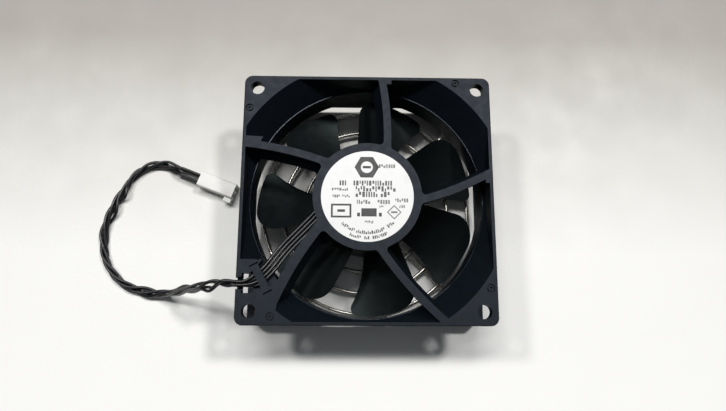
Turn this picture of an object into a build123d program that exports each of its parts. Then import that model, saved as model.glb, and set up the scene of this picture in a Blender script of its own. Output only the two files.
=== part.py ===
from build123d import *
import os
from math import cos, degrees, pi, radians, sin, tan

# An 80 mm case fan that lies on its finger guard, with the strut side and the label up.
# Origin: centre of the footprint, on the surface that the four guard screw heads stand on. +Z is up,
# along the shaft. Millimetres.

# ---- driving dimensions ----
frame_width = 80.0
frame_height = 25.0
corner_radius = 2.5
flange_thickness = 3.6
hole_spacing = 71.5
hole_radius = 2.2
rim_thickness = 1.1                 # what is left of the flange at the middle of each side
edge_break = 0.3
throat_radius = 38.0
wall_thickness = 1.9
outlet_radius = 45.0                # flared mouth on the strut side, cut square by the rim
outlet_depth = 8.4
lip_ledge = 0.4
lip_radius = 0.2
inlet_radius = 41.0
inlet_depth = 7.5

hub_base_radius = 17.25
hub_base_thickness = 2.4
hub_skirt_depth = 3.6
label_radius = 14.6
label_recess = 0.25
label_thickness = 0.15
strut_count = 5
strut_width = 2.4
lead_strut_width = 3.1
strut_thickness = 1.8               # the flat top of each strut; a leaning vane hangs below it
vane_depth = 5.8
vane_width = 1.3
vane_lean = 2.5                     # how far the foot of each vane stands off, anticlockwise
strut_start_angle = 68.9            # polar angle of the first strut's root

blade_count = 7
blade_start_angle = 24.1
blade_tip_radius = 37.2
rotor_radius = 16.9

shaft_radius = 1.5
bearing_bore_radius = 4.0
bearing_tube_radius = 5.2
bearing_width = 4.0
ball_radius = 0.79
ball_pitch_radius = 2.75
ball_count = 7
ball_clearance = 0.06
magnet_inner_radius = 12.6
magnet_outer_radius = 14.5
yoke_radius = 15.3
core_radius = 12.1
pole_count = 4

guard_wire_radius = 0.8             # legs and eyes
guard_ring_wire_radius = 0.6
guard_ring_radii = (7.2, 14.5, 21.9, 29.3, 36.6)
screw_head_height = 2.2
screw_head_radius = 3.7
screw_shank_radius = 2.1

lead_wire_radius = 0.52
lead_wire_pitch = 1.1
cord_radius = 1.3
connector_length = 13.4
connector_width = 5.4
connector_height = 5.2

# ---- derived levels ----
guard_eye_height = screw_head_height + guard_wire_radius
guard_leg_height = guard_eye_height - 1.5
guard_ring_height = guard_leg_height + guard_wire_radius + guard_ring_wire_radius - 0.1
frame_bottom = guard_eye_height + guard_wire_radius
frame_top = frame_bottom + frame_height
opening_half_width = frame_width / 2 - rim_thickness
hole_offset = hole_spacing / 2

os.makedirs("parts", exist_ok=True)


def at_depth(depth):
    """Height of a level that lies this far below the top of the frame."""
    return frame_top - depth


def ring(radius_inner, radius_outer, depth_top, depth_bottom, mode=Mode.ADD):
    """A plain ring or disc about the shaft, between two depths."""
    with BuildSketch(Plane.XY.offset(at_depth(depth_bottom))) as section:
        Circle(radius_outer)
        if radius_inner > 0:
            Circle(radius_inner, mode=Mode.SUBTRACT)
    extrude(section.sketch, amount=depth_bottom - depth_top, mode=mode)


def turned(points, mode=Mode.ADD):
    """A turned shape about the shaft from (radius, depth) points."""
    with BuildSketch(Plane.XZ) as profile:
        with BuildLine():
            Polyline(*[(radius, at_depth(depth)) for radius, depth in points], close=True)
        make_face()
    revolve(profile.sketch, axis=Axis.Z, mode=mode)


def polar_point(radius, angle):
    """A point in the plan view, from its radius and polar angle in degrees."""
    return (radius * cos(radians(angle)), radius * sin(radians(angle)))


def save(piece, name):
    """Label a finished piece and write its STEP file."""
    piece.part.label = name
    export_step(piece.part, f"parts/{name}.step")


def corner_radii(points):
    """Radius for each corner of a route: 0.45 of the shorter run, over the tangent of half the turn."""
    vectors = [Vector(*b) - Vector(*a) for a, b in zip(points, points[1:])]
    radii = []
    for before, after in zip(vectors, vectors[1:]):
        turn = before.get_angle(after)
        radii.append(0.45 * min(before.length, after.length) / tan(radians(turn / 2)))
    return radii


# ================= frame =================
# The air passage: a flared mouth, the throat and a short flared inlet, kept inside the square rim.
with BuildPart() as air_passage:
    turned([(0, -1), (outlet_radius + 0.8, -1), (outlet_radius, 0), (throat_radius + lip_ledge, outlet_depth),
            (throat_radius, outlet_depth), (throat_radius, frame_height - inlet_depth),
            (inlet_radius, frame_height), (inlet_radius, frame_height + 1), (0, frame_height + 1)])
    # the narrow ledge between the mouth and the throat has a rounded lip
    fillet(air_passage.edges().filter_by(GeomType.CIRCLE).filter_by(
        lambda edge: abs(edge.center().Z - at_depth(outlet_depth)) < 0.1
        and abs(edge.radius - throat_radius) < 0.01), radius=lip_radius)
    with BuildSketch(Plane.XY.offset(frame_bottom - 2)):
        Rectangle(2 * opening_half_width, 2 * opening_half_width)
    extrude(amount=frame_height + 4, mode=Mode.INTERSECT)

# One curved strut per fifth of a turn: a flat top, filleted where it meets the hub, over a leaning vane.
strut_root_radius = hub_base_radius - 0.8
strut_root_fillet = 1.3
strut_path_radii = (strut_root_radius, 29.0, 46.0)
strut_path_angles = (-1.6, 8.9, 17.0)
lead_strut = 3                       # the fourth strut, clockwise, carries the lead wires
strut_places = [(strut_start_angle - 360 / strut_count * index,
                 lead_strut_width if index == lead_strut else strut_width) for index in range(strut_count)]


def strut_plan(start, shift, width):
    """Plan of one strut, as a band of this width; the shift moves it anticlockwise, in millimetres."""
    with BuildLine():
        centre_line = ThreePointArc(*[polar_point(r, start + a + degrees(shift / r))
                                      for r, a in zip(strut_path_radii, strut_path_angles)])
        band = offset(centre_line, amount=width / 2, side=Side.BOTH)
    make_face(band.edges())


with BuildPart() as struts:
    with BuildSketch(Plane.XY.offset(at_depth(strut_thickness))) as tops:
        Circle(hub_base_radius)
        for start, width in strut_places:
            strut_plan(start, 0, width)
        fillet(vertices().filter_by(lambda v: abs((v.X ** 2 + v.Y ** 2) ** 0.5 - hub_base_radius) < 0.05),
               radius=strut_root_fillet)
    extrude(tops.sketch, amount=strut_thickness)
    # the filleted roots are as deep as the hub's skirt
    with BuildSketch(Plane.XY.offset(at_depth(hub_skirt_depth))) as roots:
        add(tops.sketch_local)
        Circle(hub_base_radius + 1.6, mode=Mode.INTERSECT)
    extrude(roots.sketch, amount=hub_skirt_depth - strut_thickness)
    for start, width in strut_places:
        with BuildSketch(Plane.XY.offset(at_depth(strut_thickness))) as head:
            strut_plan(start, 0, width - 0.5)
        with BuildSketch(Plane.XY.offset(at_depth(vane_depth))) as foot:
            strut_plan(start, vane_lean, vane_width)
        loft([head.sketch.face(), foot.sketch.face()], ruled=True)
    ring(0, strut_root_radius, -1, hub_skirt_depth, mode=Mode.SUBTRACT)
    ring(0, hub_base_radius, hub_skirt_depth, vane_depth + 1, mode=Mode.SUBTRACT)

# The lead wires cross the enlarged corner in a channel, under a bar, and over a slot.
lead_corner_edge = -20.1             # where the enlarged corner stops along the left side
exit_y = -27.4
exit_depth = 1.95
channel_floor = 3.1
channel_outline = [(-41, exit_y + 1.45), (-36.4, -24.9), (-34.4, -23.0), (-30.6, -18.4),
                   (-25.0, -22.8), (-29.4, -28.2), (-35.2, -30.1), (-41, exit_y - 1.45)]
bar_centre = (-32.5, -25.9)
bar_angle = -61.5
bar_length = 9.0
bar_width = 2.4
bar_thickness = 0.9
groove_width = 0.5
slot_centre = (-36.6, -27.35)
slot_width = 3.2
slot_length = 6.0
ejector_marks = [(-38.1, 28.9), (28.8, 38.0), (37.8, -28.6), (-29.2, -37.4)]
ejector_mark_radius = 1.3
ejector_mark_depth = 0.6

with BuildPart() as frame:
    # barrel, widened to hold the flared mouth, cut square where it reaches the sides
    turned([(0, 0), (46.4, 0), (46.4, flange_thickness), (throat_radius + wall_thickness, 9.6),
            (throat_radius + wall_thickness, frame_height - 5.6),
            (inlet_radius + 1.6, frame_height - flange_thickness),
            (inlet_radius + 1.6, frame_height), (0, frame_height)])
    with BuildSketch(Plane.XY.offset(frame_bottom)):
        RectangleRounded(frame_width, frame_width, corner_radius)
    extrude(amount=frame_height, mode=Mode.INTERSECT)
    # the two square flanges
    for height in (frame_bottom, at_depth(flange_thickness)):
        with BuildSketch(Plane.XY.offset(height)):
            RectangleRounded(frame_width, frame_width, corner_radius)
        extrude(amount=flange_thickness)
    add(air_passage.part, mode=Mode.SUBTRACT)
    # hub base: a disc with a short skirt
    ring(0, hub_base_radius, 0, hub_base_thickness)
    ring(hub_base_radius - 1.6, hub_base_radius, 0, hub_skirt_depth)
    add(struts.part)
    # small pads where the struts meet the rim
    with BuildSketch(Plane.XY.offset(at_depth(strut_thickness))):
        with Locations((6.4, 38.6)):
            Rectangle(2.8, 2.2)
        with Locations((38.4, 5.9)):
            Rectangle(1.6, 2.8)
        with BuildLine():
            Polyline((-39.5, 19.5), (-33.4, 19.1), (-34.3, 17.2), (-39.5, 17.2), close=True)
        make_face()
    extrude(amount=strut_thickness)
    # enlarged corner for the lead wires, and the throat wall that carries its edge
    with BuildSketch(Plane.XY.offset(at_depth(flange_thickness))):
        with BuildLine():
            lead_edge = Polyline((-39.5, -36.0), (-39.5, lead_corner_edge), (-33.8, lead_corner_edge))
            throat_edge = RadiusArc(lead_edge @ 1, (-26.8, -28.6), -throat_radius - 1.2)
            Polyline(throat_edge @ 1, (-27.5, -35.2), (-28.5, -36.0), lead_edge @ 0)
        make_face()
    extrude(amount=flange_thickness)
    with BuildSketch(Plane.XY.offset(at_depth(outlet_depth + 1))):
        with BuildLine():
            wall_inner = CenterArc((0, 0), throat_radius + 0.1, -148.6, 15.6)
            wall_outer = CenterArc((0, 0), throat_radius + wall_thickness, -148.6, 15.6)
            Line(wall_inner @ 0, wall_outer @ 0)
            Line(wall_inner @ 1, wall_outer @ 1)
        make_face()
    extrude(amount=outlet_depth + 1)
    # everything so far stays inside the square outline
    with BuildSketch(Plane.XY.offset(frame_bottom)):
        RectangleRounded(frame_width, frame_width, corner_radius)
    extrude(amount=frame_height, mode=Mode.INTERSECT)
    # the outer edges of both flanges are broken
    chamfer(frame.edges().filter_by(
        lambda edge: min(abs(edge.center().Z - frame_bottom), abs(edge.center().Z - frame_top)) < 0.01
        and max(abs((edge @ 0.5).X), abs((edge @ 0.5).Y)) > opening_half_width + 0.1), length=edge_break)
    # open space below the slot, out to the side of the frame
    with BuildSketch(Plane.XY.offset(at_depth(13))):
        with Locations((-38.0, slot_centre[1])):
            Rectangle(7.2, slot_length + 1.4)
        Circle(throat_radius + wall_thickness + 0.2, mode=Mode.SUBTRACT)
    extrude(amount=13 - flange_thickness, mode=Mode.SUBTRACT)
    # lead channel, with the bar across it
    with BuildSketch(Plane.XY.offset(at_depth(channel_floor))):
        with BuildLine():
            Polyline(*channel_outline, close=True)
        make_face()
    extrude(amount=channel_floor, mode=Mode.SUBTRACT)
    with BuildSketch(Plane.XY.offset(at_depth(bar_thickness))):
        with Locations(Location(bar_centre, bar_angle)):
            Rectangle(bar_length, bar_width)
    extrude(amount=bar_thickness)
    # grooves at both ends of the bar
    with BuildSketch(Plane.XY.offset(at_depth(bar_thickness))):
        with Locations(Location(bar_centre, bar_angle)):
            with GridLocations(bar_length + groove_width, 0, 2, 1):
                Rectangle(groove_width, bar_width + 0.6)
    extrude(amount=bar_thickness, mode=Mode.SUBTRACT)
    # slot through the enlarged corner
    with BuildSketch(Plane.XY.offset(at_depth(flange_thickness + 0.1))):
        with Locations(slot_centre):
            Rectangle(slot_width, slot_length)
    extrude(amount=flange_thickness + 0.1, mode=Mode.SUBTRACT)
    # label recess and the seat of the bearing tube
    ring(0, label_radius + 0.12, 0, label_recess, mode=Mode.SUBTRACT)
    ring(0, bearing_tube_radius, 0, hub_base_thickness, mode=Mode.SUBTRACT)
    # mounting holes through both flanges
    with BuildSketch(Plane.XY.offset(frame_bottom)):
        with GridLocations(hole_spacing, hole_spacing, 2, 2):
            Circle(hole_radius)
    extrude(amount=frame_height, mode=Mode.SUBTRACT)
    # ejector pin marks: a shallow ring and a dimple in the top face
    with BuildSketch(Plane.XY.offset(at_depth(ejector_mark_depth))):
        with Locations(*ejector_marks):
            Circle(ejector_mark_radius)
            Circle(ejector_mark_radius - 0.45, mode=Mode.SUBTRACT)
            Circle(ejector_mark_radius - 0.85)
    extrude(amount=ejector_mark_depth, mode=Mode.SUBTRACT)
save(frame, "frame")

with BuildPart() as label:
    ring(0, label_radius, label_recess - label_thickness, label_recess)
save(label, "label")

# ================= stator =================
tube_top = 0.8
tube_bottom = 19.6
upper_bearing_depth = 1.8
lower_bearing_depth = 15.4
shoulder_depth = upper_bearing_depth + bearing_width
shoulder_height = 1.0
shoulder_radius = 3.4

with BuildPart() as bearing_tube:
    turned([(bearing_bore_radius, tube_top), (bearing_tube_radius, tube_top),
            (bearing_tube_radius, tube_bottom), (bearing_bore_radius, tube_bottom),
            (bearing_bore_radius, shoulder_depth + shoulder_height),
            (shoulder_radius, shoulder_depth + shoulder_height), (shoulder_radius, shoulder_depth),
            (bearing_bore_radius, shoulder_depth)])
save(bearing_tube, "bearing_tube")

core_top = 10.5
core_bottom = 17.0
pole_neck_width = 4.0
pole_shoe_inner_radius = 10.6
shoe_half_angle = 38


def pole_plan(neck_width, shoe_radius, shoe_inner, half_angle, hub_radius):
    """Plan of the four-pole armature: a hub ring, four necks and four curved shoes."""
    Circle(hub_radius)
    with PolarLocations(0, pole_count, start_angle=45):
        with Locations((shoe_radius / 2, 0)):
            Rectangle(shoe_radius - 0.6, neck_width)
    for index in range(pole_count):
        middle = 45 + 90 * index
        with BuildLine() as shoe:
            inner = CenterArc((0, 0), shoe_inner, middle - half_angle, 2 * half_angle)
            outer = CenterArc((0, 0), shoe_radius, middle - half_angle, 2 * half_angle)
            Line(inner @ 0, outer @ 0)
            Line(inner @ 1, outer @ 1)
        make_face(shoe.edges())


with BuildPart() as stator_core:
    with BuildSketch(Plane.XY.offset(at_depth(core_bottom))):
        pole_plan(pole_neck_width, core_radius, pole_shoe_inner_radius, shoe_half_angle, 6.6)
        Circle(bearing_tube_radius, mode=Mode.SUBTRACT)
    extrude(amount=core_bottom - core_top)
save(stator_core, "stator_core")

insulator_thickness = 0.7
insulator_flange_height = 1.7
for name, plate_top, flange_top in (("insulator_upper", core_top - insulator_thickness,
                                     core_top - insulator_flange_height),
                                    ("insulator_lower", core_bottom, core_bottom)):
    with BuildPart() as insulator:
        with BuildSketch(Plane.XY.offset(at_depth(plate_top + insulator_thickness))):
            pole_plan(pole_neck_width, core_radius - 0.2, pole_shoe_inner_radius, shoe_half_angle - 1, 6.8)
            Circle(bearing_tube_radius, mode=Mode.SUBTRACT)
        extrude(amount=insulator_thickness)
        # upright flanges that keep the wire on the necks
        with BuildSketch(Plane.XY.offset(at_depth(flange_top + insulator_flange_height))):
            Circle(6.8)
            Circle(bearing_tube_radius, mode=Mode.SUBTRACT)
            for index in range(pole_count):
                middle = 45 + 90 * index
                with BuildLine():
                    inner = CenterArc((0, 0), pole_shoe_inner_radius, middle - 24, 48)
                    outer = CenterArc((0, 0), pole_shoe_inner_radius + 0.7, middle - 24, 48)
                    Line(inner @ 0, outer @ 0)
                    Line(inner @ 1, outer @ 1)
                make_face()
        extrude(amount=insulator_flange_height)
    save(insulator, name)

# one winding round each neck, its cross-section rounded
coil_inner = 6.95
coil_outer = 9.75
coil_side = 1.9
coil_top = core_top - insulator_thickness - 1.1
coil_bottom = core_bottom + insulator_thickness + 1.1
with BuildPart() as coil_windings:
    with PolarLocations(0, pole_count, start_angle=45):
        with Locations(((coil_inner + coil_outer) / 2, 0, at_depth((coil_top + coil_bottom) / 2))):
            Box(coil_outer - coil_inner, pole_neck_width + 2 * coil_side, coil_bottom - coil_top)
    fillet(coil_windings.edges().filter_by(GeomType.LINE).filter_by(
        lambda edge: abs((edge % 0).Z) < 0.1 and edge.length < coil_outer - coil_inner + 0.1), radius=0.9)
    with PolarLocations(0, pole_count, start_angle=45):
        with Locations(((coil_inner + coil_outer) / 2, 0, at_depth((core_top + core_bottom) / 2))):
            Box(coil_outer - coil_inner + 1, pole_neck_width + 0.1,
                core_bottom - core_top + 2 * insulator_thickness, mode=Mode.SUBTRACT)
save(coil_windings, "coil_windings")

# ================= circuit board =================
board_top = 5.0
board_bottom = 6.0
board_radius = 14.2
with BuildPart() as circuit_board:
    ring(bearing_tube_radius + 0.3, board_radius, board_top, board_bottom)
save(circuit_board, "circuit_board")

pin_radius = 0.35
pin_circle_radius = 6.0
with BuildPart() as terminal_pins:
    with BuildSketch(Plane.XY.offset(at_depth(core_top - insulator_flange_height))):
        with PolarLocations(pin_circle_radius, 3, start_angle=20):
            Circle(pin_radius)
    extrude(amount=core_top - insulator_flange_height - board_bottom)
save(terminal_pins, "terminal_pins")

with BuildPart() as driver_chip:
    with Locations((-9.4, 4.5, at_depth(board_bottom + 0.85))):
        Box(3.9, 4.9, 1.3)
    with Locations((-9.4, 4.5, at_depth(board_bottom + 0.1))):
        with GridLocations(5.4, 1.27, 2, 4):
            Box(1.6, 0.42, 0.2)
save(driver_chip, "driver_chip")

with BuildPart() as hall_sensor:
    with Locations((*polar_point(11.6, 0), at_depth(board_bottom + 0.6))):
        Box(1.6, 2.9, 1.1)
    with Locations((*polar_point(11.6, 0), at_depth(board_bottom + 0.08))):
        with GridLocations(2.2, 0.95, 2, 2):
            Box(0.7, 0.4, 0.16)
save(hall_sensor, "hall_sensor")

# chip resistors and capacitors below the board: the angle and length of each
chip_places = [(35, 2.0), (62, 1.6), (88, 2.0), (118, 1.6), (205, 2.0), (232, 1.6), (262, 2.0), (295, 3.2)]
with BuildPart() as board_components:
    for angle, length in chip_places:
        with Locations(Location((*polar_point(10.2, angle), at_depth(board_bottom + 0.35)), (0, 0, angle))):
            Box(length * 0.6, length, 0.7)
save(board_components, "board_components")

# ================= ball bearings =================
race_shoulder = 0.5
shield_thickness = 0.15
cage_inner = ball_pitch_radius - 0.28
cage_outer = ball_pitch_radius + 0.28

for prefix, bearing_top in (("upper_bearing", upper_bearing_depth), ("lower_bearing", lower_bearing_depth)):
    middle_height = at_depth(bearing_top + bearing_width / 2)
    bearing_bottom = bearing_top + bearing_width

    with BuildPart() as outer_race:
        ring(ball_pitch_radius + race_shoulder, bearing_bore_radius, bearing_top, bearing_bottom)
        with Locations((0, 0, middle_height)):
            Torus(ball_pitch_radius, ball_radius + ball_clearance, mode=Mode.SUBTRACT)
        for end_top in (bearing_top, bearing_bottom - shield_thickness):
            ring(0, ball_pitch_radius + 0.8, end_top, end_top + shield_thickness, mode=Mode.SUBTRACT)
    save(outer_race, f"{prefix}_outer_race")

    with BuildPart() as inner_race:
        ring(shaft_radius, ball_pitch_radius - race_shoulder, bearing_top, bearing_bottom)
        with Locations((0, 0, middle_height)):
            Torus(ball_pitch_radius, ball_radius + ball_clearance, mode=Mode.SUBTRACT)
    save(inner_race, f"{prefix}_inner_race")

    with BuildPart() as balls:
        with Locations((0, 0, middle_height)):
            with PolarLocations(ball_pitch_radius, ball_count):
                Sphere(ball_radius)
    save(balls, f"{prefix}_balls")

    with BuildPart() as cage:
        ring(cage_inner, cage_outer, bearing_top + bearing_width / 2 - 0.1, bearing_bottom - 0.75)
        with Locations((0, 0, middle_height)):
            with PolarLocations(ball_pitch_radius, ball_count):
                Sphere(ball_radius + 0.04, mode=Mode.SUBTRACT)
    save(cage, f"{prefix}_cage")

    with BuildPart() as shields:
        for end_top in (bearing_top, bearing_bottom - shield_thickness):
            ring(ball_pitch_radius - race_shoulder + 0.12, ball_pitch_radius + 0.8,
                 end_top, end_top + shield_thickness)
    save(shields, f"{prefix}_shields")

# preload spring between the tube's shoulder and the lower bearing
spring_wire_radius = 0.22
spring_top = shoulder_depth + shoulder_height + spring_wire_radius
spring_bottom = lower_bearing_depth - spring_wire_radius
spring_radius = 3.65
spring_turns = 5
with BuildPart() as preload_spring:
    with BuildLine(Plane.XY.offset(at_depth(spring_bottom))):
        coil_line = Helix((spring_bottom - spring_top) / spring_turns, spring_bottom - spring_top, spring_radius)
    with BuildSketch(Plane(coil_line @ 0, z_dir=coil_line % 0)):
        Circle(spring_wire_radius)
    sweep(path=coil_line, is_frenet=True)
save(preload_spring, "preload_spring")

# ================= rotor =================
shaft_top = 0.9
shaft_bottom = 22.8
clip_top = 1.3
clip_thickness = 0.4
with BuildPart() as shaft:
    ring(0, shaft_radius, shaft_top, shaft_bottom)
    ring(shaft_radius - 0.35, shaft_radius, clip_top - 0.03, clip_top + clip_thickness + 0.03,
         mode=Mode.SUBTRACT)
    chamfer(shaft.edges().filter_by(GeomType.CIRCLE).sort_by(Axis.Z)[-1], length=0.25)
save(shaft, "shaft")

with BuildPart() as retaining_clip:
    ring(shaft_radius - 0.32, 2.6, clip_top, clip_top + clip_thickness)
    with BuildSketch(Plane.XY.offset(at_depth(clip_top + clip_thickness))):
        with Locations((1.8, 0)):
            Rectangle(2.4, 1.5)
    extrude(amount=clip_thickness, mode=Mode.SUBTRACT)
save(retaining_clip, "retaining_clip")

bush_radius = 3.4
bush_top = 20.3
yoke_open_depth = 7.2
yoke_closed_depth = 22.4
yoke_thickness = 0.8
with BuildPart() as shaft_bush:
    ring(shaft_radius, bush_radius, bush_top, shaft_bottom)
save(shaft_bush, "shaft_bush")

with BuildPart() as rotor_yoke:
    ring(magnet_outer_radius, yoke_radius, yoke_open_depth, yoke_closed_depth)
    ring(bush_radius, yoke_radius, yoke_closed_depth - yoke_thickness, yoke_closed_depth)
    fillet(rotor_yoke.edges().filter_by(GeomType.CIRCLE).group_by(Axis.Z)[0].sort_by(SortBy.LENGTH)[-1],
           radius=0.7)
save(rotor_yoke, "rotor_yoke")

with BuildPart() as ring_magnet:
    ring(magnet_inner_radius, magnet_outer_radius, 8.0, 19.5)
save(ring_magnet, "ring_magnet")

# One blade, drawn about the +X axis. It turns clockwise seen from above, so its leading edge is the low,
# -Y one. The section planes stand across X; each row is the plane's X, then (Y, depth) of both edges.
blade_sections = [
    (14.0, (-3.8, 22.9), (7.4, 6.9), 1.5),
    (38.5, (-16.2, 22.2), (12.8, 9.2), 1.0),
]
blade_camber = 0.09
blade_edge_thickness = 0.5


def blade_outline(leading, trailing, thickness):
    """Closed outline of one blade section: two arcs bulging downwards, joined by narrow edges."""
    chord_y = trailing[0] - leading[0]
    chord_z = leading[1] - trailing[1]
    chord = (chord_y ** 2 + chord_z ** 2) ** 0.5
    down = (chord_z / chord, -chord_y / chord)
    ends = [(leading[0], at_depth(leading[1])), (trailing[0], at_depth(trailing[1]))]
    middle = ((ends[0][0] + ends[1][0]) / 2, (ends[0][1] + ends[1][1]) / 2)
    half_edge = blade_edge_thickness / 2
    sides = []
    for sign in (1, -1):
        bulge = blade_camber * chord + sign * thickness / 2
        start, finish = [(y + sign * half_edge * down[0], z + sign * half_edge * down[1]) for y, z in ends]
        crown = (middle[0] + bulge * down[0], middle[1] + bulge * down[1])
        sides.append(ThreePointArc(start, crown, finish))
    Line(sides[0] @ 0, sides[1] @ 0)
    Line(sides[0] @ 1, sides[1] @ 1)


with BuildPart() as blade:
    for plane_x, leading, trailing, thickness in blade_sections:
        with BuildSketch(Plane.YZ.offset(plane_x)):
            with BuildLine():
                blade_outline(leading, trailing, thickness)
            make_face()
    loft(ruled=True)
    # plan outline: the leading edge sweeps forward, the tip follows the throat, both corners are rounded
    with BuildSketch(Plane.XY.offset(frame_bottom)):
        with BuildLine():
            leading_root = Line((10, -2.4), (18.0, -4.3))
            leading_sweep = ThreePointArc(leading_root @ 1, (27.0, -7.9), (36.5, -15.6))
            Polyline(leading_sweep @ 1, (42, -15.6), (42, 12.9), (10, 6.1), leading_root @ 0)
        make_face()
        Circle(blade_tip_radius, mode=Mode.INTERSECT)
        fillet(vertices().sort_by(Axis.Y)[0], radius=2.6)
        fillet(vertices().filter_by(lambda v: v.X > 30).sort_by(Axis.Y)[-1], radius=7.6)
        Circle(rotor_radius - 0.6, mode=Mode.SUBTRACT)
    extrude(amount=frame_height, mode=Mode.INTERSECT)

with BuildPart() as impeller:
    turned([(yoke_radius, 5.4), (rotor_radius, 5.4), (rotor_radius, 24.0), (0, 24.0), (0, shaft_bottom),
            (bush_radius + 0.2, shaft_bottom), (bush_radius + 0.2, yoke_closed_depth),
            (yoke_radius, yoke_closed_depth)])
    fillet(impeller.edges().filter_by(GeomType.CIRCLE).group_by(Axis.Z)[0].sort_by(SortBy.LENGTH)[-1],
           radius=1.2)
    with PolarLocations(0, blade_count, start_angle=blade_start_angle):
        add(blade.part)
save(impeller, "impeller")

# ================= finger guard and its screws =================
guard_leg_start = 5.9
guard_bend_radii = (38.6, 43.0)
eye_radius = screw_shank_radius + guard_wire_radius + 0.1
eye_distance = hole_offset * 2 ** 0.5
with BuildPart() as finger_guard:
    with Locations((0, 0, guard_ring_height)):
        for ring_radius in guard_ring_radii:
            Torus(ring_radius, guard_ring_wire_radius)
    with Locations((0, 0, guard_eye_height)):
        with GridLocations(hole_spacing, hole_spacing, 2, 2):
            Torus(eye_radius, guard_wire_radius)
    for index in range(4):
        along = polar_point(1, 45 + 90 * index)
        route = [(guard_leg_start, guard_leg_height), (guard_bend_radii[0], guard_leg_height),
                 (guard_bend_radii[1], guard_eye_height), (eye_distance - eye_radius, guard_eye_height)]
        with BuildLine():
            leg = FilletPolyline(*[(r * along[0], r * along[1], z) for r, z in route], radius=2.0)
        with BuildSketch(Plane(leg @ 0, z_dir=leg % 0)):
            Circle(guard_wire_radius)
        sweep(path=leg)
save(finger_guard, "finger_guard")

recess_width = 0.9
with BuildPart() as guard_screws:
    with BuildSketch(Plane.XY):
        with GridLocations(hole_spacing, hole_spacing, 2, 2):
            Circle(screw_head_radius)
    extrude(amount=screw_head_height)
    fillet(guard_screws.edges().filter_by(GeomType.CIRCLE).group_by(Axis.Z)[0], radius=0.8)
    with BuildSketch(Plane.XY.offset(screw_head_height)):
        with GridLocations(hole_spacing, hole_spacing, 2, 2):
            Circle(screw_shank_radius)
    extrude(amount=2 * guard_wire_radius + flange_thickness + 0.8)
    chamfer(guard_screws.edges().filter_by(GeomType.CIRCLE).group_by(Axis.Z)[-1], length=0.5)
    with BuildSketch(Plane.XY):
        with GridLocations(hole_spacing, hole_spacing, 2, 2):
            Rectangle(4.2, recess_width)
            Rectangle(recess_width, 4.2)
    extrude(amount=1.2, mode=Mode.SUBTRACT)
save(guard_screws, "guard_screws")

# ================= lead wires =================
# A flat row of four from the board, under the hub, to the bar; then they close up into a bundle.
board_lead_depth = 4.35
bundle_offset = 0.53
row_stations = [                     # plan position, direction across the row, depth, share of the lift
    ((-12.6, -2.6), (-0.72, 0.69), board_lead_depth, 0),
    ((-17.2, -7.5), (-0.72, 0.69), board_lead_depth - 0.05, 0),
    ((-26.3, -17.0), (-0.78, 0.62), 4.1, 0),
    ((-30.9, -23.8), (-0.78, 0.62), exit_depth, 0),
    ((-34.4, -26.8), (-0.45, 0.89), exit_depth, 1),
]
bundle_corners = [(1, 1), (1, -1), (-1, 1), (-1, -1)]
lead_names = ("lead_wire_supply", "lead_wire_ground", "lead_wire_speed", "lead_wire_control")
for index, name in enumerate(lead_names):
    shift = (1.5 - index) * lead_wire_pitch
    side, level = bundle_corners[index]
    points = [(x + shift * across[0], y + shift * across[1], at_depth(depth) + lift * level * bundle_offset)
              for (x, y), across, depth, lift in row_stations]
    for exit_x in (-37.6, -frame_width / 2):
        points.append((exit_x, exit_y + side * bundle_offset, at_depth(exit_depth) + level * bundle_offset))
    with BuildPart() as lead_wire:
        with BuildLine():
            route = FilletPolyline(*points, radius=corner_radii(points))
        with BuildSketch(Plane(route @ 0, z_dir=route % 0)):
            Circle(lead_wire_radius)
        sweep(path=route)
    save(lead_wire, name)

# ================= cord and connector =================
# The free lead: straight out of the frame, down to the surface, round a loose bend, to the connector.
cord_route = [
    (-40.0, -27.4, 26.85), (-44.4, -27.4, 26.85), (-50.2, -27.9, 23.9), (-55.8, -28.6, 18.0),
    (-61.2, -29.0, 11.2), (-66.8, -29.6, 5.0), (-72.8, -29.9, 1.7), (-79.2, -29.0, 1.3),
    (-85.9, -25.8, 1.3), (-91.0, -19.6, 1.3), (-93.4, -11.2, 1.3), (-92.2, -3.2, 1.3),
    (-88.8, 4.6, 1.3), (-85.4, 10.6, 1.3), (-81.2, 15.5, 1.3), (-75.8, 17.3, 1.3),
    (-70.4, 15.95, 1.6), (-65.1, 13.5, 2.6), (-59.5, 11.35, 2.6),
]
cord_corner_radii = corner_radii(cord_route)
with BuildPart() as cord:
    with BuildLine():
        cord_line = FilletPolyline(*cord_route, radius=cord_corner_radii)
    with BuildSketch(Plane(cord_line @ 0, z_dir=cord_line % 0)):
        Circle(cord_radius)
    sweep(path=cord_line)
save(cord, "cord")
print("cord corner radii", [round(radius, 1) for radius in cord_corner_radii])
print("cord length", round(cord_line.length, 1), "volume over section times length",
      round(cord.part.volume / (cord_line.length * pi * cord_radius ** 2), 4))

terminal_pitch = 2.3
entry_size = 1.4
entry_depth = 2.0
cavity_size = 1.5
cavity_depth = 6.0
latch_length = 2.7
latch_height = 1.7
connector_axis = Vector(*cord_route[-1]) - Vector(*cord_route[-2])
connector_plane = Plane(cord_route[-1], x_dir=(-connector_axis.Y, connector_axis.X, 0), z_dir=connector_axis)

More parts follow.
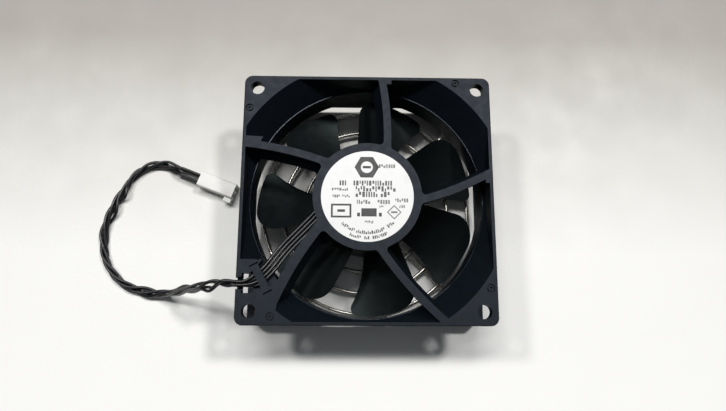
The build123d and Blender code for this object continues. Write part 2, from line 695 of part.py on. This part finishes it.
with BuildPart() as connector_housing:
    # the body, and the latch ramp on one side
    with BuildSketch(connector_plane):
        RectangleRounded(connector_width, connector_height, 0.5)
    extrude(amount=connector_length)
    with BuildSketch(connector_plane.offset(connector_length - latch_length)):
        with Locations((-connector_width / 2 - latch_height / 2 + 0.2, 0)):
            Rectangle(latch_height + 0.4, 2.6)
    extrude(amount=latch_length)
    # four wire entries in the back
    with BuildSketch(connector_plane):
        with GridLocations(terminal_pitch, terminal_pitch, 2, 2):
            Rectangle(entry_size, entry_size)
    extrude(amount=entry_depth, mode=Mode.SUBTRACT)
    # four square cavities in the front
    with BuildSketch(connector_plane.offset(connector_length - cavity_depth)):
        with GridLocations(terminal_pitch, terminal_pitch, 2, 2):
            Rectangle(cavity_size, cavity_size)
    extrude(amount=cavity_depth, mode=Mode.SUBTRACT)
save(connector_housing, "connector_housing")

terminal_gap = 0.15
with BuildPart() as connector_terminals:
    with BuildSketch(connector_plane.offset(connector_length - cavity_depth)):
        with GridLocations(terminal_pitch, terminal_pitch, 2, 2):
            Rectangle(cavity_size - terminal_gap, cavity_size - terminal_gap)
            Rectangle(0.7, 0.7, mode=Mode.SUBTRACT)
    extrude(amount=cavity_depth - 0.8)
save(connector_terminals, "connector_terminals")
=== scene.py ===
"""Looks for the case fan: camera, light, table, twisted cord, label print and materials."""
import math
import random

import bpy
from mathutils import Matrix, Vector


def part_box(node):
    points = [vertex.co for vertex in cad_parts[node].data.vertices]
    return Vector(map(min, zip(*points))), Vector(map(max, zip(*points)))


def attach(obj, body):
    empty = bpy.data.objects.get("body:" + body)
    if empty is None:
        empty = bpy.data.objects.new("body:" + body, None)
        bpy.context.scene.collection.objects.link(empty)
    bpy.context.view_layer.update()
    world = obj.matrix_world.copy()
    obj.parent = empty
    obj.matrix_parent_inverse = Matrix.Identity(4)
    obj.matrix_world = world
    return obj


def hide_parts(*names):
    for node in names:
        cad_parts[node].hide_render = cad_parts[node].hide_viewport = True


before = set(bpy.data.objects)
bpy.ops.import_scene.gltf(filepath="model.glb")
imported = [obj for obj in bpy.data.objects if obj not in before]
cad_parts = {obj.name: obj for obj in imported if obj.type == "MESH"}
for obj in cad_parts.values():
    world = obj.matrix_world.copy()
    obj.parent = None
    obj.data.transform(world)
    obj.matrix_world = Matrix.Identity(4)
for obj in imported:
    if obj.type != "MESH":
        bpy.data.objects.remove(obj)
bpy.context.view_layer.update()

MM = 0.001
random.seed(7)


# ---------------------------------------------------------------- camera
CAMERA_PLACE = Vector((-5.0, -37.57, 199.26)) * MM
CAMERA_LOOK = Vector((0.0208, 0.1979, -0.98))
CAMERA_UP = Vector((-0.0076, 0.9802, 0.1978))
SENSOR_WIDTH = 36.0                  # millimetres, as the focal length is
FOCAL_LENGTH = 27.56
NEAREST, FARTHEST = 0.01, 20.0


def add_camera():
    """The photo's view, nearly straight down and a little from the front."""
    look = CAMERA_LOOK.normalized()
    right = look.cross(CAMERA_UP).normalized()
    up = right.cross(look)
    data = bpy.data.cameras.new("camera")
    data.sensor_width = SENSOR_WIDTH
    data.lens = FOCAL_LENGTH
    data.clip_start = NEAREST
    data.clip_end = FARTHEST
    camera = bpy.data.objects.new("camera", data)
    bpy.context.collection.objects.link(camera)
    turn = Matrix((right, up, -look)).transposed().to_4x4()
    camera.matrix_world = Matrix.Translation(CAMERA_PLACE) @ turn
    bpy.context.scene.camera = camera


add_camera()


# ---------------------------------------------------------------- mesh helpers
def mesh_object(name, verts, faces, smooth=True):
    mesh = bpy.data.meshes.new(name)
    mesh.from_pydata([tuple(v) for v in verts], [], faces)
    mesh.update()
    if smooth:
        mesh.polygons.foreach_set("use_smooth", [True] * len(mesh.polygons))
    item = bpy.data.objects.new(name, mesh)
    bpy.context.collection.objects.link(item)
    return item


def tube(verts, faces, line, radius, sides):
    """Adds a closed round tube along a line of points that doesn't start upright."""
    first = len(verts)
    last = len(line) - 1
    tangents = [(line[min(i + 1, last)] - line[max(i - 1, 0)]).normalized()
                for i in range(len(line))]
    across = tangents[0].cross(Vector((0, 0, 1))).normalized()
    for i, (point, tangent) in enumerate(zip(line, tangents)):
        across = (across - tangent * across.dot(tangent)).normalized()
        other = tangent.cross(across)
        for k in range(sides):
            a = 2 * math.pi * k / sides
            verts.append(point + radius * (math.cos(a) * across + math.sin(a) * other))
        if i:
            for k in range(sides):
                a, b = first + (i - 1) * sides, first + i * sides
                faces.append((a + k, a + (k + 1) % sides, b + (k + 1) % sides, b + k))
    faces.append(tuple(first + k for k in reversed(range(sides))))
    faces.append(tuple(first + last * sides + k for k in range(sides)))


# ---------------------------------------------------------------- cord
CORD_ROUTE = [Vector(p) * MM for p in (
    (-40.0, -27.4, 26.85), (-44.4, -27.4, 26.85), (-50.2, -27.9, 23.9), (-55.8, -28.6, 18.0),
    (-61.2, -29.0, 11.2), (-66.8, -29.6, 5.0), (-72.8, -29.9, 1.7), (-79.2, -29.0, 1.3),
    (-85.9, -25.8, 1.3), (-91.0, -19.6, 1.3), (-93.4, -11.2, 1.3), (-92.2, -3.2, 1.3),
    (-88.8, 4.6, 1.3), (-85.4, 10.6, 1.3), (-81.2, 15.5, 1.3), (-75.8, 17.3, 1.3),
    (-70.4, 15.95, 1.6), (-65.1, 13.5, 2.6), (-59.5, 11.35, 2.6),
)]
ROUTE_STEPS = 14                     # points of the drawn line for each control point
STRAND_RADIUS = 0.52 * MM
STRAND_SIDES = 10
STRAND_OFFSET = 0.53 * MM            # each strand's place in the two by two bundle
STRAND_CORNERS = [(1, 1), (1, -1), (-1, 1), (-1, -1)]
TERMINAL_OFFSET = 1.15 * MM
SPREAD_START = 12 * MM               # before the connector, where the strands start to part
SPREAD_LENGTH = 6 * MM
SLACK, SLACK_SWING = 0.2, 0.3        # how much wider than tight the bundle is, and how that varies
SLACK_PITCH = 3.1 * MM
SLACK_PHASE = 1.9                    # from one strand to the next
SLACK_START = 8 * MM                 # the strands leave the frame tight together
TWIST_TURNS = 4.25                   # between the exit and the connector
# how far the twist has come (share) at places along the cord (mm):
# slack near the frame, tighter round the bend
TWIST_SHARES = [(0, 0), (1, 0), (10, 0.12), (38, 0.24), (118, 1), (200, 1)]
# where single strands stand off the bundle: strand, place along, half width, to the side, up (mm)
LOOSE_SPOTS = [(0, 4.5, 4.3, 1.1, 0.4), (2, 7.0, 5.0, 0.8, 0.3), (1, 8.5, 5.0, -1.6, -0.3),
               (3, 15.0, 6.0, -0.7, 0.2), (0, 26.0, 6.0, 0.5, 0.2), (3, 47.0, 7.0, 0.6, 0.2),
               (1, 60.0, 6.0, -0.6, 0.3), (2, 72.0, 5.0, 0.7, 0.3), (0, 84.0, 5.0, 0.7, 0.3),
               (1, 91.0, 3.5, 1.1, 0.5), (3, 98.0, 4.0, -0.7, 0.4), (1, 105.0, 4.5, 0.8, 0.3),
               (2, 112.0, 5.0, -0.6, 0.3)]


def route_points(route):
    """Points of the smooth line that has the route as its control points."""
    curve = bpy.data.curves.new("route", "CURVE")
    curve.dimensions = "3D"
    curve.resolution_u = ROUTE_STEPS
    spline = curve.splines.new("NURBS")
    spline.points.add(len(route) - 1)
    for point, place in zip(spline.points, route):
        point.co = (*place, 1.0)
    spline.order_u = 3
    spline.use_endpoint_u = True
    holder = bpy.data.objects.new("route", curve)
    mesh = bpy.data.meshes.new_from_object(holder)
    line = [v.co.copy() for v in mesh.vertices]
    bpy.data.objects.remove(holder)
    bpy.data.meshes.remove(mesh)
    return line


def smoothstep(x):
    x = min(max(x, 0.0), 1.0)
    return x * x * (3 - 2 * x)


def bump(x, middle, half):
    """1 at the middle, falling smoothly to 0 at half either side."""
    return smoothstep(1 - abs(x - middle) / half)


def between(stops, x):
    """Straight-line reading of y at x from a list of (x, y) stops."""
    for (x0, y0), (x1, y1) in zip(stops, stops[1:]):
        if x <= x1:
            return y0 + (y1 - y0) * (x - x0) / (x1 - x0)
    return stops[-1][1]


def add_cord():
    line = route_points(CORD_ROUTE)
    along = [0.0]
    for a, b in zip(line, line[1:]):
        along.append(along[-1] + (b - a).length)
    total = along[-1]
    # two directions that follow the line: 'side' starts along +Y and 'rise' along +Z
    frames = []
    side = Vector((0, 1, 0))
    for i in range(len(line)):
        tangent = (line[min(i + 1, len(line) - 1)] - line[max(i - 1, 0)]).normalized()
        side = (side - tangent * side.dot(tangent)).normalized()
        frames.append((side, side.cross(tangent)))
    # the twist ends square to the table, as the connector's terminals are
    last_side, last_rise = frames[-1]
    flat = Vector((last_side.x, last_side.y, 0)).normalized()
    turns = TWIST_TURNS * 2 * math.pi + math.atan2(flat.dot(last_rise), flat.dot(last_side))
    verts, faces = [], []
    for index, (y, z) in enumerate(STRAND_CORNERS):
        start = math.atan2(z, y)
        strand = []
        for point, s, (side, rise) in zip(line, along, frames):
            angle = start + turns * between(TWIST_SHARES, s / MM)
            spread = smoothstep((s - (total - SPREAD_START)) / SPREAD_LENGTH)
            reach = math.sqrt(2) * (STRAND_OFFSET + (TERMINAL_OFFSET - STRAND_OFFSET) * spread)
            slack = SLACK + SLACK_SWING * math.sin(s / SLACK_PITCH + SLACK_PHASE * index)
            reach *= 1 + slack * (1 - spread) * smoothstep(s / SLACK_START)
            place = point + reach * (math.cos(angle) * side + math.sin(angle) * rise)
            for strand_index, middle, half, out, up in LOOSE_SPOTS:
                if strand_index == index:
                    stand_off = out * side + Vector((0, 0, up))
                    place += bump(s, middle * MM, half * MM) * MM * stand_off
            place.z = max(place.z, STRAND_RADIUS)
            strand.append(place)
        tube(verts, faces, strand, STRAND_RADIUS, STRAND_SIDES)
    cord = mesh_object("cord_strands", verts, faces)
    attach(cord, "housing")
    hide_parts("cord")
    return cord


cord = add_cord()


# ---------------------------------------------------------------- label print
def prism(verts, faces, outline, bottom, top):
    """Adds a closed flat prism over a plan outline, given anticlockwise."""
    first, count = len(verts), len(outline)
    for z in (bottom, top):
        verts.extend(Vector((x * MM, y * MM, z)) for x, y in outline)
    faces.append(tuple(first + k for k in reversed(range(count))))
    faces.append(tuple(first + count + k for k in range(count)))
    for k in range(count):
        n = (k + 1) % count
        faces.append((first + k, first + n, first + count + n, first + count + k))


def ring_prism(verts, faces, outer, inner, bottom, top):
    """Adds a closed flat prism between two outlines with the same number of points."""
    first, count = len(verts), len(outer)
    for outline in (outer, inner):
        for z in (bottom, top):
            verts.extend(Vector((x * MM, y * MM, z)) for x, y in outline)
    o0, o1, i0, i1 = first, first + count, first + 2 * count, first + 3 * count
    for k in range(count):
        n = (k + 1) % count
        faces.append((o0 + k, o0 + n, o1 + n, o1 + k))
        faces.append((i0 + n, i0 + k, i1 + k, i1 + n))
        faces.append((o1 + k, o1 + n, i1 + n, i1 + k))
        faces.append((o0 + n, o0 + k, i0 + k, i0 + n))


def diamond(x, y, radius):
    return [(x + radius, y), (x, y + radius), (x - radius, y), (x, y - radius)]


def rectangle(x0, y0, x1, y1):
    return [(x0, y0), (x1, y0), (x1, y1), (x0, y1)]


# all as shares of the line's height; a bar spans all of it, its lower part or its upper part
BAR_SPANS = ((0.0, 1.0), (0.0, 1.0), (0.0, 0.62), (0.38, 1.0))
BAR_WIDTHS = (0.22, 0.5)             # least and most
BAR_GAP = 0.2
LAST_BAR_ROOM = 0.3                  # no bar starts with less room than this


def bars(start, stop, height):
    """Plain bars that fill a line of print: (start, stop, low share, high share) of each."""
    strokes, x = [], start
    while x < stop - LAST_BAR_ROOM * height:
        width = random.uniform(*BAR_WIDTHS) * height
        low, high = random.choice(BAR_SPANS)
        strokes.append((x, min(x + width, stop), low, high))
        x += width + BAR_GAP * height
    return strokes


LABEL_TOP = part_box("label")[1].z
PRINT_BOTTOM = LABEL_TOP - 0.005 * MM
PRINT_TOP = LABEL_TOP + 0.015 * MM


def print_lines(verts, faces, lines):
    """Straight lines of bars: each is x start, x stop, y of the base, height."""
    for x0, x1, y, height in lines:
        for a, b, low, high in bars(x0, x1, height):
            outline = rectangle(a, y + low * height, b, y + high * height)
            prism(verts, faces, outline, PRINT_BOTTOM, PRINT_TOP)


def print_arc(verts, faces, radius, start, stop, height):
    """A line of bars along an arc below the middle, angles in degrees."""
    length = radius * math.radians(stop - start)
    for a, b, low, high in bars(0, length, height):
        angles = [math.radians(start) + v / radius for v in (a, b)]
        outer, inner = radius - low * height, radius - high * height
        outline = [(r * math.cos(t), r * math.sin(t)) for r, t in
                   ((outer, angles[0]), (outer, angles[1]), (inner, angles[1]), (inner, angles[0]))]
        prism(verts, faces, outline, PRINT_BOTTOM, PRINT_TOP)


def add_print(name, build):
    verts, faces = [], []
    build(verts, faces)
    item = mesh_object(name, verts, faces, smooth=False)
    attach(item, "housing")
    return item


BADGE_X, BADGE_Y = -0.2, 9.3
BADGE_RADIUS = 3.9
BADGE_HOLE_RADIUS = 1.9
BADGE_STEP = 15                      # degrees between the outline's points


def dark_print(verts, faces):
    # a six-sided badge with a round hole and a bar in it
    hexagon, hole = [], []
    half_side = math.radians(30)
    for k in range(360 // BADGE_STEP):
        angle = math.radians(BADGE_STEP * k)
        from_side = (angle % math.radians(60)) - half_side
        reach = BADGE_RADIUS * math.cos(half_side) / math.cos(from_side)
        for outline, radius in ((hexagon, reach), (hole, BADGE_HOLE_RADIUS)):
            outline.append((BADGE_X + radius * math.cos(angle), BADGE_Y + radius * math.sin(angle)))
    ring_prism(verts, faces, hexagon, hole, PRINT_BOTTOM, PRINT_TOP)
    prism(verts, faces, rectangle(-1.5, 8.9, 1.1, 9.7), PRINT_BOTTOM, PRINT_TOP)
    # plain framed box and solid bar
    ring_prism(verts, faces, rectangle(-11.4, -7.0, -5.0, -2.6), rectangle(-10.8, -6.4, -5.6, -3.2),
               PRINT_BOTTOM, PRINT_TOP)
    prism(verts, faces, rectangle(-9.4, -5.2, -7.0, -4.4), PRINT_BOTTOM, PRINT_TOP)
    prism(verts, faces, rectangle(-1.9, -6.6, 2.9, -4.0), PRINT_BOTTOM, PRINT_TOP)
    for x in (-3.2, 3.6):
        prism(verts, faces, rectangle(x, -6.6, x + 0.9, -5.4), PRINT_BOTTOM, PRINT_TOP)


def grey_print(verts, faces):
    print_lines(verts, faces, [
        (-8.8, -6.3, 3.3, 1.6), (-4.4, 8.4, 3.3, 1.6),
        (-11.2, -5.8, 1.6, 0.9), (-3.7, 8.9, 1.4, 1.7),
        (-11.0, -8.6, -0.6, 0.9), (-7.9, -5.6, -0.6, 0.9),
        (-3.7, 3.6, -0.4, 1.7), (4.2, 7.8, -0.4, 1.7),
        (-0.8, 1.8, -8.8, 0.9),
    ])
    for start, stop in ((228, 250), (253, 299), (303, 316)):
        print_arc(verts, faces, 12.2, start, stop, 1.1)
    for start, stop in ((246, 262), (266, 273), (277, 299)):
        print_arc(verts, faces, 13.8, start, stop, 1.0)


def pale_print(verts, faces):
    print_lines(verts, faces, [
        (3.6, 9.0, 9.1, 1.2), (-3.3, 1.2, -2.6, 1.3), (3.2, 7.1, -2.6, 1.3), (8.8, 12.8, -2.0, 1.2),
        (10.0, 11.8, -3.8, 0.9), (3.8, 5.0, -3.9, 0.8),
    ])
    # a square stood on its corner, with a bar in it
    ring_prism(verts, faces, diamond(8.4, -5.2, 2.3), diamond(8.4, -5.2, 1.85),
               PRINT_BOTTOM, PRINT_TOP)
    prism(verts, faces, rectangle(7.4, -5.5, 9.4, -4.9), PRINT_BOTTOM, PRINT_TOP)


print_dark = add_print("label_print_dark", dark_print)
print_grey = add_print("label_print_grey", grey_print)
print_pale = add_print("label_print_pale", pale_print)


# ---------------------------------------------------------------- materials
NOISE_LOW, NOISE_HIGH = 0.3, 0.7     # a noise texture mostly lies between these
TONE_SCALE, GLOSS_SCALE = 90, 420    # features per metre of the slow changes in plastic
METAL_TONE_SCALE = 160
METAL_DARK, METAL_LIGHT = 0.88, 1.08


def new_material(name):
    material = bpy.data.materials.new(name)
    material.use_nodes = True
    tree = material.node_tree
    shader = tree.nodes["Principled BSDF"]
    coords = tree.nodes.new("ShaderNodeTexCoord")
    return material, tree, shader, coords.outputs["Object"]


def noise(tree, coords, scale, detail=3.0, stretch=None):
    """A noise texture; scale is in features per metre, stretch scales each axis."""
    if stretch:
        mapping = tree.nodes.new("ShaderNodeMapping")
        mapping.inputs["Scale"].default_value = stretch
        tree.links.new(coords, mapping.inputs["Vector"])
        coords = mapping.outputs["Vector"]
    node = tree.nodes.new("ShaderNodeTexNoise")
    node.inputs["Scale"].default_value = scale
    node.inputs["Detail"].default_value = detail
    tree.links.new(coords, node.inputs["Vector"])
    return node.outputs["Fac"]


def ramp(tree, value, stops):
    """A colour ramp from (position, colour) stops."""
    node = tree.nodes.new("ShaderNodeValToRGB")
    elements = node.color_ramp.elements
    while len(elements) < len(stops):
        elements.new(0.5)
    for element, (position, colour) in zip(elements, stops):
        element.position = position
        element.color = (*colour, 1.0)
    tree.links.new(value, node.inputs["Fac"])
    return node.outputs["Color"]


def remap(tree, value, low, high, start=NOISE_LOW, stop=NOISE_HIGH):
    """Maps the value from start and stop onto low and high."""
    node = tree.nodes.new("ShaderNodeMapRange")
    node.inputs["From Min"].default_value = start
    node.inputs["From Max"].default_value = stop
    node.inputs["To Min"].default_value = low
    node.inputs["To Max"].default_value = high
    tree.links.new(value, node.inputs["Value"])
    return node.outputs["Result"]


def add_bump(tree, shader, height, strength, distance):
    """Fine relief; distance is its depth in metres."""
    node = tree.nodes.new("ShaderNodeBump")
    node.inputs["Strength"].default_value = strength
    node.inputs["Distance"].default_value = distance
    tree.links.new(height, node.inputs["Height"])
    tree.links.new(node.outputs["Normal"], shader.inputs["Normal"])


def shade(colour, factor):
    return tuple(min(c * factor, 1.0) for c in colour)


POLISH = 0.5                         # what a worn, shiny edge keeps of the roughness
POLISHED_BAND = 0.22 * MM            # how far up and down the shine reaches


def plastic(name, colour, rough=(0.4, 0.55), grain=2600, grain_depth=0.00003, mottle=0.15,
            specular=0.5, tint=(1.0, 1.0, 1.0), translucent=0.0, polished_at=None):
    """Moulded plastic: fine spark-eroded grain, slow changes of tone and of gloss."""
    material, tree, shader, coords = new_material(name)
    tones = [(NOISE_LOW, shade(colour, 1 - mottle)), (NOISE_HIGH, shade(colour, 1 + mottle))]
    tree.links.new(ramp(tree, noise(tree, coords, TONE_SCALE, 2), tones), shader.inputs["Base Color"])
    gloss = remap(tree, noise(tree, coords, GLOSS_SCALE, 4), *rough)
    if polished_at:
        split = tree.nodes.new("ShaderNodeSeparateXYZ")
        tree.links.new(coords, split.inputs["Vector"])
        near = tree.nodes.new("ShaderNodeMath")
        near.operation = "COMPARE"
        tree.links.new(split.outputs["Z"], near.inputs[0])
        near.inputs[1].default_value = polished_at
        near.inputs[2].default_value = POLISHED_BAND
        share = tree.nodes.new("ShaderNodeMath")
        share.operation = "MULTIPLY"
        tree.links.new(gloss, share.inputs[0])
        tree.links.new(remap(tree, near.outputs["Value"], 1.0, POLISH, 0, 1), share.inputs[1])
        gloss = share.outputs["Value"]
    tree.links.new(gloss, shader.inputs["Roughness"])
    add_bump(tree, shader, noise(tree, coords, grain, 2), 0.5, grain_depth)
    shader.inputs["Specular IOR Level"].default_value = specular
    shader.inputs["Specular Tint"].default_value = (*tint, 1.0)
    if translucent:
        shader.inputs["Subsurface Weight"].default_value = translucent
        shader.inputs["Subsurface Radius"].default_value = (0.003, 0.0028, 0.0024)
    return material


def metal(name, colour, rough=(0.2, 0.35), stretch=(1, 1, 30), grain=700, depth=0.000012):
    """Metal with fine drawn or turned marks, stretched along one axis."""
    material, tree, shader, coords = new_material(name)
    marks = noise(tree, coords, grain, 4, stretch)
    tones = [(NOISE_LOW, shade(colour, METAL_DARK)), (NOISE_HIGH, shade(colour, METAL_LIGHT))]
    tree.links.new(ramp(tree, noise(tree, coords, METAL_TONE_SCALE, 3), tones),
                   shader.inputs["Base Color"])
    tree.links.new(remap(tree, marks, *rough), shader.inputs["Roughness"])
    add_bump(tree, shader, marks, 0.4, depth)
    shader.inputs["Metallic"].default_value = 1.0
    return material


def winding():
    """Enamelled copper wire wound in layers: fine round ridges about the middle."""
    material, tree, shader, coords = new_material("copper_winding")
    wave = tree.nodes.new("ShaderNodeTexWave")
    wave.wave_type = "RINGS"
    wave.rings_direction = "Z"
    wave.inputs["Scale"].default_value = 900
    wave.inputs["Distortion"].default_value = 0.6
    tree.links.new(coords, wave.inputs["Vector"])
    tones = [(0.0, (0.16, 0.05, 0.02)), (1.0, (0.62, 0.27, 0.12))]
    tree.links.new(ramp(tree, wave.outputs["Fac"], tones), shader.inputs["Base Color"])
    tree.links.new(remap(tree, noise(tree, coords, 500), 0.22, 0.4), shader.inputs["Roughness"])
    add_bump(tree, shader, wave.outputs["Fac"], 0.8, 0.0001)
    shader.inputs["Metallic"].default_value = 0.8
    return material


def board():
    """Green solder mask over copper areas."""
    material, tree, shader, coords = new_material("solder_mask")
    cells = tree.nodes.new("ShaderNodeTexVoronoi")
    cells.feature = "DISTANCE_TO_EDGE"
    cells.inputs["Scale"].default_value = 330
    tree.links.new(coords, cells.inputs["Vector"])
    tones = [(0.0, (0.03, 0.12, 0.05)), (0.09, (0.03, 0.12, 0.05)), (0.12, (0.06, 0.24, 0.10))]
    tree.links.new(ramp(tree, cells.outputs["Distance"], tones), shader.inputs["Base Color"])
    tree.links.new(remap(tree, noise(tree, coords, 400), 0.25, 0.4), shader.inputs["Roughness"])
    add_bump(tree, shader, cells.outputs["Distance"], 0.3, 0.00004)
    return material


def laminations():
    """Stacked sheets: fine level lines, a dull blue-grey with random traces of rust."""
    material, tree, shader, coords = new_material("core_laminations")
    wave = tree.nodes.new("ShaderNodeTexWave")
    wave.bands_direction = "Z"
    wave.inputs["Scale"].default_value = 640
    wave.inputs["Distortion"].default_value = 0.2
    tree.links.new(coords, wave.inputs["Vector"])
    tones = [(0.35, (0.34, 0.34, 0.36)), (0.75, (0.40, 0.33, 0.28))]
    tree.links.new(ramp(tree, noise(tree, coords, 260), tones), shader.inputs["Base Color"])
    tree.links.new(remap(tree, wave.outputs["Fac"], 0.3, 0.5, 0, 1), shader.inputs["Roughness"])
    add_bump(tree, shader, wave.outputs["Fac"], 0.6, 0.00005)
    shader.inputs["Metallic"].default_value = 0.9
    return material


def label_paper():
    """White film label: a fine even surface with a slight sheen and faint grey scuffs."""
    material, tree, shader, coords = new_material("label_paper")
    scuffs = noise(tree, coords, 300, 5)
    tree.links.new(ramp(tree, scuffs, [(0.28, (0.65, 0.65, 0.655)), (0.45, (0.70, 0.70, 0.705))]),
                   shader.inputs["Base Color"])
    tree.links.new(remap(tree, noise(tree, coords, 900), 0.38, 0.5), shader.inputs["Roughness"])
    add_bump(tree, shader, noise(tree, coords, 3000, 2), 0.3, 0.00001)
    return material


LIP_HEIGHT = 20.35 * MM              # the lip where the frame's flared mouth ends
frame_plastic = plastic("frame_plastic", (0.0018, 0.0038, 0.0064), rough=(0.48, 0.58), grain=3200,
                        grain_depth=0.00004, mottle=0.07, specular=0.26, tint=(0.78, 0.86, 1.0),
                        polished_at=LIP_HEIGHT)
impeller_plastic = plastic("impeller_plastic", (0.0042, 0.0056, 0.0064), rough=(0.36, 0.48),
                           grain=2200, grain_depth=0.00002, specular=0.25, tint=(0.8, 0.97, 1.0))
insulation = plastic("wire_insulation", (0.0055, 0.006, 0.008), rough=(0.3, 0.36), grain=1500,
                     grain_depth=0.000008, mottle=0.25)
nylon = plastic("connector_nylon", (0.66, 0.655, 0.64), rough=(0.32, 0.45), grain=1500,
                grain_depth=0.00002, mottle=0.03, translucent=0.25)
natural_plastic = plastic("natural_plastic", (0.74, 0.70, 0.58), rough=(0.4, 0.55), mottle=0.05)
white_plastic = plastic("white_clip_plastic", (0.80, 0.79, 0.75), rough=(0.35, 0.5), mottle=0.04)
chip_plastic = plastic("chip_plastic", (0.020, 0.020, 0.022), rough=(0.5, 0.65), grain=4000)
ceramic = plastic("component_ceramic", (0.46, 0.36, 0.25), rough=(0.45, 0.6), grain=5000,
                  mottle=0.12)
ferrite = plastic("magnet_ferrite", (0.035, 0.032, 0.032), rough=(0.55, 0.75), grain=3500,
                  mottle=0.3)
chrome = metal("guard_chrome", (0.40, 0.39, 0.36), rough=(0.24, 0.32), stretch=(1, 1, 1), grain=300,
               depth=0.000002)
bearing_steel = metal("bearing_steel", (0.62, 0.63, 0.65), rough=(0.08, 0.2))
turned_brass = metal("turned_brass", (0.72, 0.52, 0.22), rough=(0.2, 0.36))
cage_brass = metal("cage_brass", (0.68, 0.50, 0.24), rough=(0.25, 0.4))
shaft_steel = metal("shaft_steel", (0.58, 0.58, 0.59), rough=(0.14, 0.26))
zinc_steel = metal("zinc_plated_steel", (0.52, 0.53, 0.54), rough=(0.28, 0.46), stretch=(1, 1, 12))
spring_steel = metal("spring_steel", (0.44, 0.44, 0.46), rough=(0.22, 0.36))
tinned = metal("tinned_metal", (0.66, 0.66, 0.63), rough=(0.24, 0.4), stretch=(1, 1, 4))
black_oxide = metal("black_oxide_steel", (0.06, 0.06, 0.062), rough=(0.34, 0.5), stretch=(1, 1, 1),
                    grain=900)
INK = {"grain": 3000, "grain_depth": 0.00001}
ink_black = plastic("ink_black", (0.022, 0.022, 0.024), rough=(0.45, 0.6), **INK)
ink_grey = plastic("ink_grey", (0.07, 0.07, 0.07), rough=(0.5, 0.6), **INK)
ink_pale = plastic("ink_pale_grey", (0.13, 0.13, 0.13), rough=(0.5, 0.6), **INK)

NODE_MATERIALS = {
    frame_plastic: ["frame"],
    impeller_plastic: ["impeller"],
    label_paper(): ["label"],
    turned_brass: ["bearing_tube", "shaft_bush"],
    laminations(): ["stator_core"],
    natural_plastic: ["insulator_upper", "insulator_lower"],
    winding(): ["coil_windings"],
    board(): ["circuit_board"],
    tinned: ["terminal_pins", "connector_terminals"],
    chip_plastic: ["driver_chip", "hall_sensor"],
    ceramic: ["board_components"],
    bearing_steel: [f"{which}_bearing_{piece}" for which in ("upper", "lower")
                    for piece in ("outer_race", "inner_race", "balls")],
    cage_brass: ["upper_bearing_cage", "lower_bearing_cage"],
    zinc_steel: ["upper_bearing_shields", "lower_bearing_shields", "rotor_yoke"],
    spring_steel: ["preload_spring"],
    shaft_steel: ["shaft"],
    white_plastic: ["retaining_clip"],
    ferrite: ["ring_magnet"],
    chrome: ["finger_guard"],
    black_oxide: ["guard_screws"],
    insulation: ["lead_wire_supply", "lead_wire_ground", "lead_wire_speed", "lead_wire_control"],
    nylon: ["connector_housing"],
}
for material, names in NODE_MATERIALS.items():
    for name in names:
        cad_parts[name].material_slots[0].material = material
for piece, material in ((cord, insulation), (print_dark, ink_black), (print_grey, ink_grey),
                        (print_pale, ink_pale)):
    piece.data.materials.append(material)


# ---------------------------------------------------------------- table and light
TABLE_REACH = 3.0
TABLE_FRONT, TABLE_BACK = -0.13, 0.10        # where the tone starts and stops changing
# The table isn't plain: its colour holds painted light falloff, following the photo's table
# from front to back: nearly white, then a soft edge into darker, warmer painted shade.
# The same colour five times makes it plain.
TABLE_PAINTED_FALLOFF = [(0.0, (0.93, 0.93, 0.925)), (0.5, (0.78, 0.778, 0.765)),
               (0.66, (0.60, 0.593, 0.570)), (0.87, (0.335, 0.316, 0.290)),
               (1.0, (0.30, 0.281, 0.260))]


def add_table():
    corners = rectangle(-TABLE_REACH, -TABLE_REACH, TABLE_REACH, TABLE_REACH)
    table = mesh_object("table", [(x, y, 0) for x, y in corners], [(0, 1, 2, 3)], smooth=False)
    material, tree, shader, coords = new_material("table_painted_light_falloff")
    split = tree.nodes.new("ShaderNodeSeparateXYZ")
    tree.links.new(coords, split.inputs["Vector"])
    # painted light falloff: brighter at the front, painted shade towards the back
    place = remap(tree, split.outputs["Y"], 0.0, 1.0, TABLE_FRONT, TABLE_BACK)
    tree.links.new(ramp(tree, place, TABLE_PAINTED_FALLOFF), shader.inputs["Base Color"])
    tree.links.new(remap(tree, noise(tree, coords, 60), 0.42, 0.55), shader.inputs["Roughness"])
    add_bump(tree, shader, noise(tree, coords, 700, 3), 0.25, 0.00015)
    table.data.materials.append(material)


LAMP_COLOUR = (1.0, 0.99, 0.97)
CEILING_COLOUR = (0.88, 0.95, 1.0)
ROOM_COLOUR = (0.92, 0.96, 1.0, 1.0)
ROOM_STRENGTH = 0.05


def add_light(name, place, width, height, power, colour):
    """An area light that faces the middle of the table."""
    data = bpy.data.lights.new(name, "AREA")
    data.shape = "RECTANGLE"
    data.size, data.size_y = width, height
    data.energy = power
    data.color = colour
    light = bpy.data.objects.new(name, data)
    bpy.context.collection.objects.link(light)
    light.location = place
    light.rotation_mode = "QUATERNION"
    light.rotation_quaternion = (-Vector(place)).to_track_quat("-Z", "Y")


add_table()
# placed and powered to match the shadows and tones in the photo
add_light("right_lamp", (0.58, 0.46, 1.2), 0.15, 0.15, 8.9, LAMP_COLOUR)
add_light("middle_panel", (-0.12, 0.46, 1.2), 0.60, 0.17, 9.0, LAMP_COLOUR)
add_light("left_lamp", (-0.72, 0.46, 1.2), 0.15, 0.15, 6.0, LAMP_COLOUR)
add_light("ceiling", (0, 0.1, 1.6), 1.5, 1.5, 2.2, CEILING_COLOUR)
world = bpy.data.worlds.new("dim_room")
world.use_nodes = True
background = world.node_tree.nodes["Background"]
background.inputs["Color"].default_value = ROOM_COLOUR
background.inputs["Strength"].default_value = ROOM_STRENGTH
bpy.context.scene.world = world
bpy.context.scene.view_settings.view_transform = "Standard"
